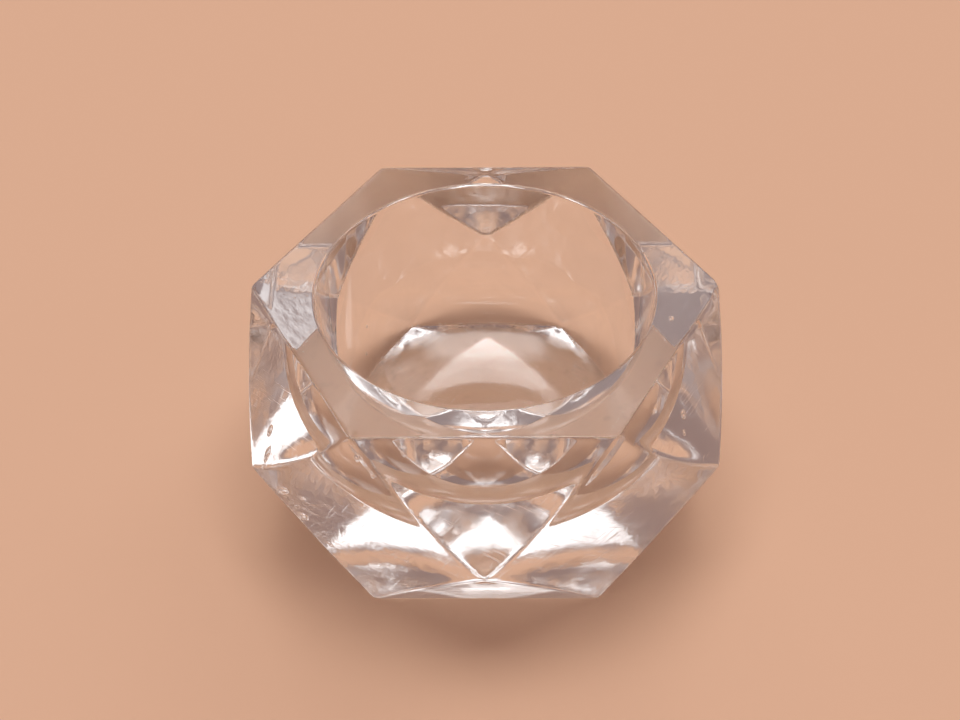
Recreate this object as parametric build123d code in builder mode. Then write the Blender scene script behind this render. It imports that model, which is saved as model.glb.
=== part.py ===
"""Open salt cellar: one piece of clear pressed glass, a faceted hexagonal block with a round bowl in its top.

Millimetres, +Z up. The origin is the middle of the flat base, so the cellar stands on the plane Z = 0.
Corners of the rim and of the base point along +X and every sixth of a turn after it. The corners of the
girdle, the widest line of the block, point half way between them.
"""
import os
from math import cos, pi, sin, sqrt

from build123d import *

# Driving dimensions of the faceted block
SIDES = 6
HEIGHT = 27.0
RIM_ACROSS_CORNERS = 50.0
BASE_ACROSS_CORNERS = 49.5
GIRDLE_HEIGHT = 14.0
SIDE_CROWN = 0.75
EDGE_RADIUS = 0.3

# Driving dimensions of the bowl
RIM_LAND = 3.65
FLOOR_THICKNESS = 7.6
WALL_DRAFT = 0.5
WALL_REACH = 16.6
FLOOR_REACH = 14.6
LIP_RADIUS = 0.4

# Corner radius and flat distance of the rim and base hexagons
half_side = pi / SIDES
rim_radius = RIM_ACROSS_CORNERS / 2
rim_flat = rim_radius * cos(half_side)
base_radius = BASE_ACROSS_CORNERS / 2
base_flat = base_radius * cos(half_side)

# Each side face is part of a ball that runs through the rim corner above it and the base corner below it,
# and stands proud of the straight line between them by the crown
corner_lean = rim_radius - base_radius
corner_line = sqrt(HEIGHT**2 + corner_lean**2)
ball_radius = (corner_line**2 / 4 + SIDE_CROWN**2) / (2 * SIDE_CROWN)
ball_inset = ball_radius - SIDE_CROWN
ball_offset = (rim_radius + base_radius) / 2 - ball_inset * HEIGHT / corner_line
ball_height = HEIGHT / 2 + ball_inset * corner_lean / corner_line

# A girdle corner is where two neighbouring balls meet at the girdle's height
girdle_rise = GIRDLE_HEIGHT - ball_height
girdle_reach = ball_radius**2 - girdle_rise**2 - (ball_offset * sin(half_side)) ** 2
girdle_radius = ball_offset * cos(half_side) + sqrt(girdle_reach)

# A corner cut runs from an edge of the rim or base to the girdle corner, and on to the other end of the block
upper_slope = (girdle_radius - rim_flat) / (HEIGHT - GIRDLE_HEIGHT)
lower_slope = (girdle_radius - base_flat) / GIRDLE_HEIGHT
upper_cut_flat = rim_flat + upper_slope * HEIGHT
lower_cut_flat = base_flat + lower_slope * HEIGHT

# The bowl's mouth leaves the land at the middle of each rim edge
mouth_radius = rim_flat - RIM_LAND

with BuildPart() as glass_body:
    # The upper corner cuts: a hexagonal taper that is the rim at its top
    with BuildSketch(Plane.XY):
        RegularPolygon(upper_cut_flat, SIDES, major_radius=False)
    with BuildSketch(Plane.XY.offset(HEIGHT)):
        RegularPolygon(rim_flat, SIDES, major_radius=False)
    loft()

    # The lower corner cuts: a hexagonal taper that is the base at its foot
    with BuildSketch(Plane.XY):
        RegularPolygon(base_flat, SIDES, major_radius=False)
    with BuildSketch(Plane.XY.offset(HEIGHT)):
        RegularPolygon(lower_cut_flat, SIDES, major_radius=False)
    loft(mode=Mode.INTERSECT)

    # The crowned side faces, one ball each
    for corner in PolarLocations(ball_offset, SIDES).locations:
        with Locations((corner.position.X, corner.position.Y, ball_height)):
            Sphere(ball_radius, mode=Mode.INTERSECT)

    # Every edge of the block is softened, as the mould and the fire polish leave it
    fillet(glass_body.edges(), EDGE_RADIUS)

    # The bowl, as the plunger presses it: one smooth curve that leaves the mouth almost upright, keeps to the wall
    # for about the wall's reach, and comes in over the floor's reach to lie level at the middle of the floor
    with BuildSketch(Plane.XZ):
        with BuildLine():
            section = Bezier(
                (mouth_radius, HEIGHT),
                (mouth_radius - WALL_DRAFT, HEIGHT - WALL_REACH),
                (FLOOR_REACH, FLOOR_THICKNESS),
                (0, FLOOR_THICKNESS),
            )
            axis = Line(section @ 1, (0, HEIGHT))
            Line(axis @ 1, section @ 0)
        make_face()
    revolve(axis=Axis.Z, mode=Mode.SUBTRACT)

    # The lip of the bowl
    fillet(glass_body.edges(Select.LAST).sort_by(Axis.Z)[-1], LIP_RADIUS)

glass_body.part.label = "glass_body"
os.makedirs("parts", exist_ok=True)
export_step(glass_body.part, "parts/glass_body.step")
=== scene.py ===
from math import atan2, cos, hypot, pi, radians, sin, sqrt

import bpy
import numpy as np
from mathutils import Matrix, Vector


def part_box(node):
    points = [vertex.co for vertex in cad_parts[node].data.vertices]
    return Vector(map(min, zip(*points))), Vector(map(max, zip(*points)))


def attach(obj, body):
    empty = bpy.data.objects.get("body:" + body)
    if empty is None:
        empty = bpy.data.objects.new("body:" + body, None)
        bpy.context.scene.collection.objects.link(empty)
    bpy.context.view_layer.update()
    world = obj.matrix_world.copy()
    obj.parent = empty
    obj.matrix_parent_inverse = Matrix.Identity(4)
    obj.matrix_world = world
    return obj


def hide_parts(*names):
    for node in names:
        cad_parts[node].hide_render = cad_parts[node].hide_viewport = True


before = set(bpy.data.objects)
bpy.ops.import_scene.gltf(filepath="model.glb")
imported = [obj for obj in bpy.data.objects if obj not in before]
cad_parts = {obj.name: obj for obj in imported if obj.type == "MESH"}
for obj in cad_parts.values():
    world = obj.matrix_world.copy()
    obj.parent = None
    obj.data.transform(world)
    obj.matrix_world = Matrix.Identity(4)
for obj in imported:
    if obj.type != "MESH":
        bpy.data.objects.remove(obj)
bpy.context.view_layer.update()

# The glass body is the whole salt cellar: a hexagonal block with cut corners and a round bowl in its top.
# It is one gob of clear glass, pressed by a round plunger into a six-sided mould and then fire polished.
# That leaves crowned sides, soft edges, faint waves and a few trapped seeds of air, and use has chipped it.
SIDES = 6
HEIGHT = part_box("glass_body")[1].z
RIM_RADIUS = 0.02500
BASE_RADIUS = 0.02475
GIRDLE_HEIGHT = 0.0140
SIDE_CROWN = 0.00075
EDGE_SHARPNESS = 240
LEAST_NEARNESS = 1e-9
WELD_DISTANCE = 1e-7
RIM_LAND = 0.00365
FLOOR_THICKNESS = 0.0076
WALL_DRAFT = 0.0005
WALL_REACH = 0.0166
FLOOR_REACH = 0.0146
LIP_RADIUS = 0.0004

half_side = pi / SIDES
rim_flat = RIM_RADIUS * cos(half_side)
base_flat = BASE_RADIUS * cos(half_side)
corner_lean = RIM_RADIUS - BASE_RADIUS
corner_line = hypot(HEIGHT, corner_lean)
ball_radius = (corner_line**2 / 4 + SIDE_CROWN**2) / (2 * SIDE_CROWN)
ball_inset = ball_radius - SIDE_CROWN
ball_offset = (RIM_RADIUS + BASE_RADIUS) / 2 - ball_inset * HEIGHT / corner_line
ball_height = HEIGHT / 2 + ball_inset * corner_lean / corner_line
girdle_reach = ball_radius**2 - (GIRDLE_HEIGHT - ball_height)**2 - (ball_offset * sin(half_side))**2
girdle_radius = ball_offset * cos(half_side) + sqrt(girdle_reach)
upper_slope = (girdle_radius - rim_flat) / (HEIGHT - GIRDLE_HEIGHT)
lower_slope = (girdle_radius - base_flat) / GIRDLE_HEIGHT
mouth_radius = rim_flat - RIM_LAND
heart = np.array([0, 0, GIRDLE_HEIGHT])


def unit(vectors):
    """Each vector divided by its length."""
    return vectors / np.linalg.norm(vectors, axis=-1, keepdims=True)


def crowded(count, power=2.2):
    """Steps from 0 to 1 that lie close together near 0: an even step raised to a power."""
    return np.linspace(0, 1, count)**power


def crowded_both(count):
    """Steps from 0 to 1 that lie close together at both ends: two crowded halves, back to back."""
    half = crowded(count) / 2
    return np.concatenate([half, 1 - half[-2::-1]])


def outline(height, cut):
    """Half a sixth of the block's outline at each height, from the middle of a side face to a girdle corner.

    The side face's ball gives x = offset + root(K - y y), where K is the ball's radius squared less the
    square of the height above its middle. The corner cut is a straight line at the distance cut from the
    axis, and the two meet where half the line's length is root(K - (cut - offset cos) squared) + offset sin.
    """
    height = height[:, None]
    cut = cut[:, None]
    slice_square = ball_radius**2 - (height - ball_height)**2
    line = np.sqrt(slice_square - (cut - ball_offset * cos(half_side))**2) + ball_offset * sin(half_side)
    line = np.maximum(line, 0)
    edge_y = np.maximum(cut * sin(half_side) - line * cos(half_side), 0)
    face_y = edge_y * (1 - crowded(FACE_COLUMNS)[::-1])
    face_x = ball_offset + np.sqrt(slice_square - face_y**2)
    along = line * (1 - crowded(FACE_COLUMNS)[1:])
    cut_x = cut * cos(half_side) + along * sin(half_side)
    cut_y = cut * sin(half_side) - along * cos(half_side)
    x = np.concatenate([face_x, cut_x], axis=1)
    y = np.concatenate([face_y, cut_y], axis=1)
    return np.stack([x, y, np.broadcast_to(height, x.shape)], axis=-1)


def inward(edge, radius, count):
    """Rows from an edge of the block over a flat end to a circle: each point goes straight there."""
    angle = np.linspace(0, half_side, edge.shape[0])
    circle = np.stack([radius * np.cos(angle), radius * np.sin(angle), edge[:, 2]], axis=-1)
    step = crowded(count)[1:, None, None]
    return edge * (1 - step) + circle * step


def all_round(half):
    """The whole ring: the half sixth, its mirror image at the girdle corner, and five turned copies."""
    turn = 2 * half_side
    image = half[:, :0:-1]
    mirror = np.array([[cos(turn), sin(turn), 0], [sin(turn), -cos(turn), 0], [0, 0, 1]])
    sixth = np.concatenate([half[:, :-1], image @ mirror], axis=1)
    angle = np.arange(SIDES) * turn
    zero = np.zeros(SIDES)
    one = np.ones(SIDES)
    turns = np.array([[np.cos(angle), -np.sin(angle), zero],
                      [np.sin(angle), np.cos(angle), zero],
                      [zero, zero, one]])
    ring = np.einsum("ijs,rcj->rsci", turns, sixth)
    return ring.reshape(len(half), -1, 3)


def softened(points):
    """The points moved along rays from the block's heart on to its faces, with every edge rounded.

    Each of the 14 planes and 6 balls has a reach along the ray. The reaches r are blended as the sum of r to
    the power -sharpness, taken to the power -1/sharpness, which follows the nearest face and rounds where
    two faces are equally near. The normal is the gradient of that sum, and edge is high where faces share it.
    """
    ray = unit(points - heart)
    around = half_side + np.arange(SIDES) * 2 * half_side
    upper = unit(np.stack([np.cos(around), np.sin(around), np.full(SIDES, upper_slope)], axis=-1))
    lower = unit(np.stack([np.cos(around), np.sin(around), np.full(SIDES, -lower_slope)], axis=-1))
    ends = np.array([[0, 0, 1], [0, 0, -1]])
    facing = np.concatenate([ends, upper, lower])
    girdle_corners = girdle_radius * np.stack([np.cos(around), np.sin(around), np.zeros(SIDES)], axis=-1)
    end_distance = [HEIGHT - GIRDLE_HEIGHT, GIRDLE_HEIGHT]
    upper_distance = np.sum(upper * girdle_corners, axis=-1)
    lower_distance = np.sum(lower * girdle_corners, axis=-1)
    distance = np.concatenate([end_distance, upper_distance, lower_distance])
    plane_nearness = np.maximum(ray @ facing.T, 0) / distance
    middles = np.stack([ball_offset * np.cos(around - half_side), ball_offset * np.sin(around - half_side),
                        np.full(SIDES, ball_height - GIRDLE_HEIGHT)], axis=-1)
    towards = ray @ middles.T
    reach = towards + np.sqrt(towards**2 - np.sum(middles**2, axis=-1) + ball_radius**2)
    ball_facing = (ray[..., None, :] * reach[..., None] - middles) / ball_radius
    ball_distance = np.sum(ball_facing * ray[..., None, :], axis=-1) * reach
    nearness = np.concatenate([plane_nearness, 1 / reach], axis=-1)
    nearest = nearness.max(axis=-1, keepdims=True)
    share = (nearness / nearest)**EDGE_SHARPNESS
    total = share.sum(axis=-1, keepdims=True)
    blend = nearest * total**(1 / EDGE_SHARPNESS)
    pull = share / nearness.clip(LEAST_NEARNESS)
    plane_pull = (pull[..., :len(facing)] / distance) @ facing
    ball_pull = np.sum((pull[..., len(facing):] / ball_distance)[..., None] * ball_facing, axis=-2)
    edge = 2 * (1 - 1 / total[..., 0])
    return heart + ray / blend, unit(plane_pull + ball_pull), edge


def bowl_section():
    """The bowl's section in (radius, height) from the land to the axis, with its normals into the air.

    A lip arc leads from the land to the wall. From its end one cubic curve with four control points runs
    down the wall and over the floor to the axis. The normal is the curve's direction turned by a quarter.
    """
    lean = atan2(WALL_DRAFT, WALL_REACH)
    into_air = np.array([-cos(lean), sin(lean)])
    lip_middle = np.array([mouth_radius + LIP_RADIUS * (1 - sin(lean)) / cos(lean), HEIGHT - LIP_RADIUS])
    angle = np.linspace(pi / 2, pi - lean, LIP_ROWS)[:, None]
    lip_normal = np.concatenate([np.cos(angle), np.sin(angle)], axis=1)
    lip = lip_middle + LIP_RADIUS * lip_normal
    first = lip_middle + LIP_RADIUS * into_air
    second = np.array([mouth_radius - WALL_DRAFT, HEIGHT - WALL_REACH])
    third = np.array([FLOOR_REACH, FLOOR_THICKNESS])
    last = np.array([0, FLOOR_THICKNESS])
    step = np.linspace(0, 1, BOWL_ROWS)[1:, None]
    back = 1 - step
    curve = first * back**3 + 3 * second * step * back**2 + 3 * third * step**2 * back + last * step**3
    direction = (second - first) * back**2 + 2 * (third - second) * step * back + (last - third) * step**2
    curve_normal = unit(np.stack([direction[:, 1], -direction[:, 0]], axis=-1))
    return np.concatenate([lip, curve]), np.concatenate([lip_normal, curve_normal])


def spun(profile, angle):
    """A profile of (radius, height) rows turned about the axis to each angle."""
    radius = profile[:, :1]
    height = profile[:, 1:]
    return np.stack([radius * np.cos(angle), radius * np.sin(angle), height + 0 * angle], axis=-1)


def waved(points, normals):
    """The surface taken in by a sum of faint sine waves in space, with its normals leant to match.

    A wave of depth a, wave vector k and phase c takes a point p in by a (1 + sin(k p + c)), so the normal
    turns by the part of a k cos(k p + c) that lies along the surface. The waves fade out at the foot, which
    stays flat.
    """
    draws = np.random.default_rng(WAVE_SEED)
    lengths = draws.uniform(SHORTEST_WAVE, LONGEST_WAVE, (WAVE_COUNT, 1))
    vectors = unit(draws.normal(size=(WAVE_COUNT, 3))) * 2 * pi / lengths
    phases = points @ vectors.T + draws.uniform(0, 2 * pi, WAVE_COUNT)
    depth = WAVE_DEPTH * np.clip(points[..., 2:] / FLAT_FOOT, 0, 1)
    taken_in = depth * np.sum(1 + np.sin(phases), axis=-1, keepdims=True)
    slope = depth * (np.cos(phases) @ vectors)
    lean = slope - normals * np.sum(slope * normals, axis=-1, keepdims=True)
    return points - normals * taken_in, unit(normals + lean)


def chipped(points, normals):
    """The surface dented about each chip's middle by its depth times exp(-(distance / width) squared).

    The normals lean by the part of that dent's gradient that lies along the surface.
    """
    chips = np.array(CHIPS)
    away = points[:, None] - chips[:, :3]
    width = chips[:, 3]
    dent = chips[:, 4] * np.exp(-np.sum(away**2, axis=-1) / width**2)
    slope = np.sum(-2 * away * (dent / width**2)[..., None], axis=1)
    lean = slope - normals * np.sum(slope * normals, axis=-1, keepdims=True)
    return points - normals * dent.sum(axis=1, keepdims=True), unit(normals + lean)


def seed(middle, radius, stretch, drawn):
    """The wall of a bubble: a ball of points s about its middle, drawn out by a stretch along a direction d.

    A point is middle + radius (s + (stretch - 1) (s d) d). The rows run from the top down, so that the faces
    look into the bubble, and the normal is the ellipsoid's own, turned inwards.
    """
    polar = np.linspace(0, pi, SEED_ROWS)[:, None]
    around = np.linspace(0, 2 * pi, 2 * SEED_ROWS, endpoint=False)
    sine = np.sin(polar)
    ball = np.stack([sine * np.cos(around), sine * np.sin(around), np.cos(polar) + 0 * around], axis=-1)
    drawn = unit(np.array(drawn))
    along = (ball @ drawn)[..., None] * drawn
    return middle + radius * (ball + (stretch - 1) * along), -unit(ball - (1 - 1 / stretch) * along)


def joined_grid(points):
    """The triangles of a grid whose columns run round: equal points are joined, empty triangles dropped."""
    keys = np.round(points.reshape(-1, 3) / WELD_DISTANCE).astype(np.int64)
    first, index = np.unique(keys, axis=0, return_index=True, return_inverse=True)[1:]
    index = index.reshape(points.shape[:2])
    beside = np.roll(index, -1, axis=1)
    quads = np.stack([index[:-1], beside[:-1], beside[1:], index[1:]], axis=-1).reshape(-1, 4)
    triangles = np.concatenate([quads[:, [0, 1, 2]], quads[:, [0, 2, 3]]])
    ordered = np.sort(triangles, axis=1)
    whole = (np.diff(ordered, axis=1) > 0).all(axis=1)
    return first, triangles[whole]


FACE_COLUMNS = 17
SIDE_ROWS = 13
END_ROWS = 9
LIP_ROWS = 9
BOWL_ROWS = 64
BASE_MIDDLE = 0.012
low_heights = GIRDLE_HEIGHT * crowded_both(SIDE_ROWS)
high_heights = GIRDLE_HEIGHT + (HEIGHT - GIRDLE_HEIGHT) * crowded_both(SIDE_ROWS)
low_rows = outline(low_heights, base_flat + lower_slope * low_heights)
high_rows = outline(high_heights, rim_flat + upper_slope * (HEIGHT - high_heights))
base_rows = inward(low_rows[0], BASE_MIDDLE, END_ROWS)[::-1]
rim_rows = inward(high_rows[-1], mouth_radius + LIP_RADIUS, END_ROWS)
block = all_round(np.concatenate([base_rows, low_rows, high_rows[1:], rim_rows]))
block, block_normals, block_edges = softened(block)
section, section_normals = bowl_section()
angle = np.arctan2(block[-1, :, 1], block[-1, :, 0])
bowl = spun(section[1:], angle)
bowl_normals = spun(section_normals[1:], angle)
base_pole = block[:1] * [0, 0, 1]
points = np.concatenate([base_pole, block, bowl])
normals = np.concatenate([block_normals[:1], block_normals, bowl_normals])
edges = np.concatenate([block_edges[:1], block_edges, np.zeros(bowl.shape[:2])])
kept, triangles = joined_grid(points)

WAVE_SEED = 7
WAVE_COUNT = 9
SHORTEST_WAVE = 0.0045
LONGEST_WAVE = 0.0110
WAVE_DEPTH = 2.0e-6
FLAT_FOOT = 0.003
points, normals = waved(points.reshape(-1, 3)[kept], normals.reshape(-1, 3)[kept])
edges = edges.reshape(-1)[kept]

# Each chip has its middle, its width and its depth
CHIPS = [
    (0.0244, -0.0012, 0.0270, 0.00075, 0.00022),
    (0.0248, 0.0002, 0.0268, 0.00045, 0.00012),
    (-0.0123, -0.0213, 0.0270, 0.00040, 0.00008),
    (-0.0246, 0.0004, 0.0002, 0.00060, 0.00014),
    (0.0121, 0.0213, 0.0002, 0.00050, 0.00012),
    (0.0000, 0.0284, 0.0140, 0.00050, 0.00010),
]
points, normals = chipped(points, normals)

SEED_ROWS = 13
# Each seed has its middle, its radius, how far it is drawn out, and along which direction
SEEDS = [
    ((-0.0219, -0.0127, 0.0180), 0.00040, 2.0, (0.36, 0.21, 0.79)),
    ((-0.0223, -0.0143, 0.0161), 0.00042, 2.6, (0.36, 0.21, 0.79)),
    ((0.0198, -0.0134, 0.0211), 0.00044, 1.4, (0, 0, 1)),
    ((0.0199, -0.0148, 0.0199), 0.00028, 1.5, (0, 0, 1)),
    ((-0.0210, -0.0157, 0.0126), 0.00060, 1.6, (1, 0, 0.4)),
    ((-0.0187, -0.0174, 0.0133), 0.00032, 1.5, (1, 0, 0.2)),
    ((-0.0191, -0.0170, 0.0098), 0.00062, 1.4, (1, 0.3, 0)),
    ((-0.0163, -0.0185, 0.0070), 0.00034, 1.8, (1, 0, -0.4)),
    ((-0.0150, 0.0088, 0.0128), 0.00014, 1.8, (0.3, 0, 1)),
    ((-0.0149, 0.0059, 0.0108), 0.00013, 1.5, (0, 0.4, 1)),
    ((0.0215, 0.0050, 0.0080), 0.00030, 1.4, (0, 1, 1)),
]
for middle, radius, stretch, drawn in SEEDS:
    wall, wall_normals = seed(middle, radius, stretch, drawn)
    seed_kept, seed_triangles = joined_grid(wall)
    triangles = np.concatenate([triangles, seed_triangles + len(points)])
    points = np.concatenate([points, wall.reshape(-1, 3)[seed_kept]])
    normals = np.concatenate([normals, wall_normals.reshape(-1, 3)[seed_kept]])
    edges = np.concatenate([edges, np.zeros(len(seed_kept))])

glass_mesh = bpy.data.meshes.new("salt_cellar_glass")
glass_mesh.from_pydata(points.tolist(), [], triangles.tolist())
glass_mesh.polygons.foreach_set("use_smooth", np.ones(len(glass_mesh.polygons), bool))
glass_mesh.normals_split_custom_set_from_vertices(normals.tolist())
edge_wear = glass_mesh.attributes.new("edge_wear", "FLOAT", "POINT")
edge_wear.data.foreach_set("value", edges.astype(np.float32))
glass_body = bpy.data.objects.new("salt_cellar_glass", glass_mesh)
bpy.context.collection.objects.link(glass_body)


class Shade:
    """A value in a shader: sums and products of it become Math nodes, and node() adds any other node."""

    def __init__(self, tree, socket=None):
        self.tree = tree
        self.socket = socket

    def node(self, kind, inputs, output=0, **settings):
        """A new node: its settings come first, then each input takes a number, a colour or another value."""
        made = self.tree.nodes.new("ShaderNode" + kind)
        for name, setting in settings.items():
            setattr(made, name, setting)
        for name, value in inputs.items():
            if isinstance(value, Shade):
                self.tree.links.new(value.socket, made.inputs[name])
            else:
                made.inputs[name].default_value = value
        return Shade(self.tree, made.outputs[output])

    def __add__(self, other):
        return self.node("Math", {0: self, 1: other}, operation="ADD")

    def __sub__(self, other):
        return self.node("Math", {0: self, 1: other}, operation="SUBTRACT")

    def __rsub__(self, other):
        return self.node("Math", {0: other, 1: self}, operation="SUBTRACT")

    def __mul__(self, other):
        return self.node("Math", {0: self, 1: other}, operation="MULTIPLY")

    def __abs__(self):
        return self.node("Math", {0: self}, operation="ABSOLUTE")

    __radd__ = __add__
    __rmul__ = __mul__


def smooth_step(value, low, high):
    """A value that goes softly from 0 to 1 as the given one goes from low to high."""
    limits = {"Value": value, "From Min": low, "From Max": high}
    return value.node("MapRange", limits, interpolation_type="SMOOTHSTEP")


def blotches(place, width, detail, drawn_out=(1, 1, 1)):
    """Noise about 0.5 with blotches of a width in metres, drawn out along the axes by the given factors."""
    shrink = tuple(1 / factor for factor in drawn_out)
    spot = place.node("VectorMath", {0: place, 1: shrink}, operation="MULTIPLY")
    return place.node("TexNoise", {"Vector": spot, "Scale": 1 / width, "Detail": detail})


def scratches(place, turn):
    """Fine lines about a tenth of a millimetre wide that run along one direction and come and go."""
    turned = place.node("Mapping", {"Vector": place, "Rotation": (0, 0, turn)})
    lines = blotches(turned, SCRATCH_WIDTH, 0.0, (SCRATCH_STRETCH, 1, 1))
    return smooth_step(lines, *SCRATCH_LEVELS)


IOR = 1.52
CLEAR = (0.995, 1.0, 1.0, 1)
DUST = (0.86, 0.84, 0.82, 1)
FOOT_LOW = 0.0001
FOOT_HIGH = 0.0003
BOWL_MARGIN = 0.0188
BOWL_FADE = 0.0005
BOWL_BOTTOM = 0.001
BOWL_WEAR_LOW = 0.009
BOWL_WEAR_HIGH = 0.014
GIRDLE_FADE = 0.002
glass = bpy.data.materials.new("clear_pressed_glass")
glass.use_nodes = True
shader = glass.node_tree.nodes["Principled BSDF"]
shader.inputs["Transmission Weight"].default_value = 1
shader.inputs["IOR"].default_value = IOR
place = Shade(glass.node_tree).node("TexCoord", {}, "Object")
height = place.node("SeparateXYZ", {0: place}, "Z")
level_place = place.node("VectorMath", {0: place, 1: (1, 1, 0)}, operation="MULTIPLY")
from_axis = place.node("VectorMath", {0: level_place}, "Value", operation="LENGTH")
edge = place.node("Attribute", {}, "Fac", attribute_name="edge_wear")
underside = smooth_step(height, FOOT_HIGH, FOOT_LOW)
near_axis = smooth_step(from_axis, BOWL_MARGIN, BOWL_MARGIN - BOWL_FADE)
in_bowl = near_axis * smooth_step(height, BOWL_BOTTOM, 2 * BOWL_BOTTOM)
below_girdle = smooth_step(height, GIRDLE_HEIGHT, GIRDLE_HEIGHT - GIRDLE_FADE)
lower_half = below_girdle * (1 - in_bowl) * (1 - underside)

# The relief: mould waves all over, chill marks on the lower facets, a mottled foot, and scratches and nicks.
WAVE_WIDTH = 0.0042
WAVE_RELIEF = 10e-6
CHILL_PATCH = 0.010
CHILL_LEVELS = (0.34, 0.54)
CHILL_WIDTH = 0.0011
CHILL_DRAWN_OUT = (1, 1, 2.5)
CHILL_RELIEF = 24e-6
FOOT_WIDTH = 0.0023
FOOT_RELIEF = 17e-6
WEAR_PATCH = 0.006
WEAR_LEVELS = (0.42, 0.60)
SCRATCH_WIDTH = 0.00016
SCRATCH_STRETCH = 30
SCRATCH_LEVELS = (0.66, 0.74)
SCRATCH_TURNS = (0.6, 2.1)
SCRATCH_RELIEF = 3e-6
NICK_PATCH = 0.0009
NICK_LEVELS = (0.52, 0.60)
NICK_WIDTH = 0.00025
NICK_RELIEF = 25e-6
chilled = lower_half * smooth_step(blotches(place, CHILL_PATCH, 1.0), *CHILL_LEVELS)
chill = chilled * blotches(place, CHILL_WIDTH, 2.0, CHILL_DRAWN_OUT)
ripple = blotches(place, WAVE_WIDTH, 1.0)
foot = underside * blotches(place, FOOT_WIDTH, 2.0)
worn = smooth_step(blotches(place, WEAR_PATCH, 1.0), *WEAR_LEVELS)
handled = underside + in_bowl * smooth_step(height, BOWL_WEAR_HIGH, BOWL_WEAR_LOW)
marks = handled * worn * (scratches(place, SCRATCH_TURNS[0]) + scratches(place, SCRATCH_TURNS[1]))
nicked = edge * smooth_step(blotches(place, NICK_PATCH, 1.0), *NICK_LEVELS)
nicks = nicked * blotches(place, NICK_WIDTH, 1.0)
raised = WAVE_RELIEF * ripple + CHILL_RELIEF * chill + FOOT_RELIEF * foot
relief = raised - SCRATCH_RELIEF * marks - NICK_RELIEF * nicks
normal = place.node("Bump", {"Height": relief, "Strength": 1.0, "Distance": 1.0})
glass.node_tree.links.new(normal.socket, shader.inputs["Normal"])

# The polish: smudged by fingers, dulled under the foot, and broken by the scratches and nicks.
POLISH = 0.005
SMUDGE_WIDTH = 0.007
SMUDGE_LEVELS = (0.52, 0.70)
SMUDGE_ROUGHNESS = 0.02
GRAIN_WIDTH = 0.0011
FOOT_ROUGHNESS = 0.03
GRAIN_ROUGHNESS = 0.08
SCRATCH_ROUGHNESS = 0.12
NICK_ROUGHNESS = 0.25
smudged = smooth_step(blotches(place, SMUDGE_WIDTH, 4.0), *SMUDGE_LEVELS)
grain = blotches(place, GRAIN_WIDTH, 3.0)
dulled = underside * (FOOT_ROUGHNESS + GRAIN_ROUGHNESS * grain)
broken = SCRATCH_ROUGHNESS * marks + NICK_ROUGHNESS * nicked
roughness = POLISH + SMUDGE_ROUGHNESS * smudged + dulled + broken
glass.node_tree.links.new(roughness.socket, shader.inputs["Roughness"])

# The colour: clear, with a film of dust under the foot and a little in the bowl.
DUST_WIDTH = 0.0016
DUST_LEVELS = (0.55, 0.75)
BOWL_DUST = 0.3
dusty = smooth_step(blotches(place, DUST_WIDTH, 5.0), *DUST_LEVELS) * (underside + BOWL_DUST * in_bowl)
tint = place.node("Mix", {0: dusty, 6: CLEAR, 7: DUST}, 2, data_type="RGBA")
glass.node_tree.links.new(tint.socket, shader.inputs["Base Color"])
glass_mesh.materials.append(glass)
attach(glass_body, "root")
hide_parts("glass_body")

# The floor is a plain pale sheet under the glass.
# A hair of air lies between them, as under any piece of glass that stands on a table.
FLOOR_COLOUR = (0.80, 0.51, 0.35, 1)
FLOOR_ROUGHNESS = 0.9
FLOOR_RADIUS = 3.0
RING_POINTS = 96
AIR_GAP = 0.00005
ring_angle = np.linspace(0, 2 * pi, RING_POINTS, endpoint=False)
ring_depth = np.full(ring_angle.shape, -AIR_GAP)
ring = np.stack([FLOOR_RADIUS * np.cos(ring_angle), FLOOR_RADIUS * np.sin(ring_angle), ring_depth], axis=-1)
floor_mesh = bpy.data.meshes.new("floor")
floor_mesh.from_pydata(ring.tolist(), [], [list(range(len(ring)))])
floor = bpy.data.objects.new("floor", floor_mesh)
bpy.context.collection.objects.link(floor)
sheet = bpy.data.materials.new("pale_sheet")
sheet.use_nodes = True
sheet_shader = sheet.node_tree.nodes["Principled BSDF"]
sheet_shader.inputs["Base Color"].default_value = FLOOR_COLOUR
sheet_shader.inputs["Roughness"].default_value = FLOOR_ROUGHNESS
sheet_shader.inputs["Specular IOR Level"].default_value = 0
floor_mesh.materials.append(sheet)

# The light is a wide soft box behind the glass and a little to the right, with a dark flag before its foot,
# and a second soft light overhead that ends half way forward. Two pale cards stand low at the sides. The
# studio is a warm grey, and low down as pale as the floor, so that the floor has no hard end in low views.
BOX_AZIMUTH = radians(71)
BOX_HALF_WIDTH = radians(41)
BOX_LOW = radians(28)
BOX_HIGH = radians(60)
BOX_FADE = radians(5)
BOX_RADIANCE = 1.35
FLAG_AZIMUTH = radians(90)
FLAG_HALF_WIDTH = radians(9)
FLAG_TOP = radians(42)
FLAG_FADE = radians(3)
TOP_LOW = radians(65)
TOP_FADE = radians(5)
TOP_DARK_NORTH = -0.10
TOP_FULL_NORTH = 0.02
TOP_RADIANCE = 4.8
RIGHT_CARD_AZIMUTH = radians(-4)
LEFT_CARD_AZIMUTH = radians(-153)
CARD_HALF_WIDTH = radians(10)
CARD_HALF_HEIGHT = radians(9)
CARD_ELEVATION = radians(22)
CARD_FADE = radians(4)
RIGHT_CARD_RADIANCE = 0.5
LEFT_CARD_RADIANCE = 0.2
STUDIO_COLOUR = (0.235, 0.160, 0.152)
HORIZON_COLOUR = (0.685, 0.41, 0.275, 1)
HORIZON_LOW = radians(2)
HORIZON_HIGH = radians(14)
world = bpy.data.worlds.new("studio")
world.use_nodes = True
bpy.context.scene.world = world
direction = Shade(world.node_tree).node("TexCoord", {}, "Generated")
east = direction.node("SeparateXYZ", {0: direction}, "X")
north = direction.node("SeparateXYZ", {0: direction}, "Y")
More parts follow.
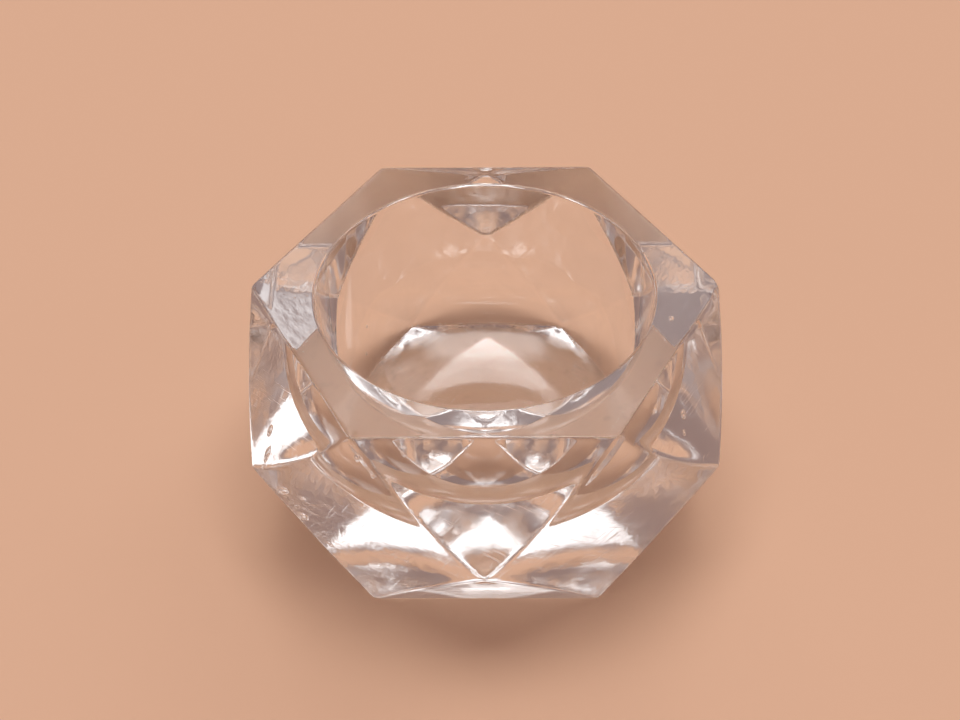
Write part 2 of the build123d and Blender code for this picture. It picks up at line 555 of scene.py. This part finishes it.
up = direction.node("SeparateXYZ", {0: direction}, "Z")
azimuth = direction.node("Math", {0: north, 1: east}, operation="ARCTAN2")
elevation = direction.node("Math", {0: up}, operation="ARCSINE")


def within(aside, half_width, fade):
    """A value that is 1 up to about half a width aside and falls softly to 0 about it."""
    return smooth_step(aside, half_width + fade, half_width - fade)


def card(middle):
    """A value that is 1 on a pale card at an azimuth and 0 beside it."""
    across_card = within(abs(azimuth - middle), CARD_HALF_WIDTH, CARD_FADE)
    return across_card * within(abs(elevation - CARD_ELEVATION), CARD_HALF_HEIGHT, CARD_FADE)


across = within(abs(azimuth - BOX_AZIMUTH), BOX_HALF_WIDTH, BOX_FADE)
upright = within(abs(elevation - (BOX_LOW + BOX_HIGH) / 2), (BOX_HIGH - BOX_LOW) / 2, BOX_FADE)
flag_across = within(abs(azimuth - FLAG_AZIMUTH), FLAG_HALF_WIDTH, FLAG_FADE)
flag = flag_across * within(elevation, FLAG_TOP, FLAG_FADE)
back_half = smooth_step(north, TOP_DARK_NORTH, TOP_FULL_NORTH)
overhead = smooth_step(elevation, TOP_LOW - TOP_FADE, TOP_LOW + TOP_FADE) * back_half
right_card = RIGHT_CARD_RADIANCE * card(RIGHT_CARD_AZIMUTH)
left_card = LEFT_CARD_RADIANCE * card(LEFT_CARD_AZIMUTH)
box = BOX_RADIANCE * (across * upright * (1 - flag))
lamps = box + TOP_RADIANCE * overhead + right_card + left_card
studio = direction.node("VectorMath", {0: lamps, 1: STUDIO_COLOUR}, operation="ADD")
low_down = smooth_step(elevation, HORIZON_HIGH, HORIZON_LOW)
light = direction.node("Mix", {0: low_down, 6: studio, 7: HORIZON_COLOUR}, 2, data_type="RGBA")
world.node_tree.links.new(light.socket, world.node_tree.nodes["Background"].inputs["Color"])

# The camera looks down at the glass from the front, and turns and leans a little, as the photograph does.
# A path of light may bounce often, because the facets mirror each other many times inside the glass.
CAMERA_DISTANCE = 0.138689
CAMERA_YAW = radians(1.0332)
CAMERA_PITCH = radians(44.668)
CAMERA_ROLL = radians(-0.938)
CAMERA_ASIDE = (-0.0006146, 0.0111827)
CAMERA_LENS = 42.09
NEAREST_SEEN = 0.001
BOUNCES = 24
MIRROR_BOUNCES = 16
turn = Matrix.Rotation(CAMERA_YAW, 4, "Z") @ Matrix.Rotation(pi / 2 - CAMERA_PITCH, 4, "X")
camera_data = bpy.data.cameras.new("camera")
camera_data.lens = CAMERA_LENS
camera_data.clip_start = NEAREST_SEEN
camera = bpy.data.objects.new("camera", camera_data)
back = Matrix.Translation((*CAMERA_ASIDE, CAMERA_DISTANCE))
camera.matrix_world = turn @ back @ Matrix.Rotation(CAMERA_ROLL, 4, "Z")
bpy.context.collection.objects.link(camera)
bpy.context.scene.camera = camera
bpy.context.scene.view_settings.view_transform = "Standard"
bpy.context.scene.cycles.max_bounces = BOUNCES
bpy.context.scene.cycles.transmission_bounces = BOUNCES
bpy.context.scene.cycles.glossy_bounces = MIRROR_BOUNCES
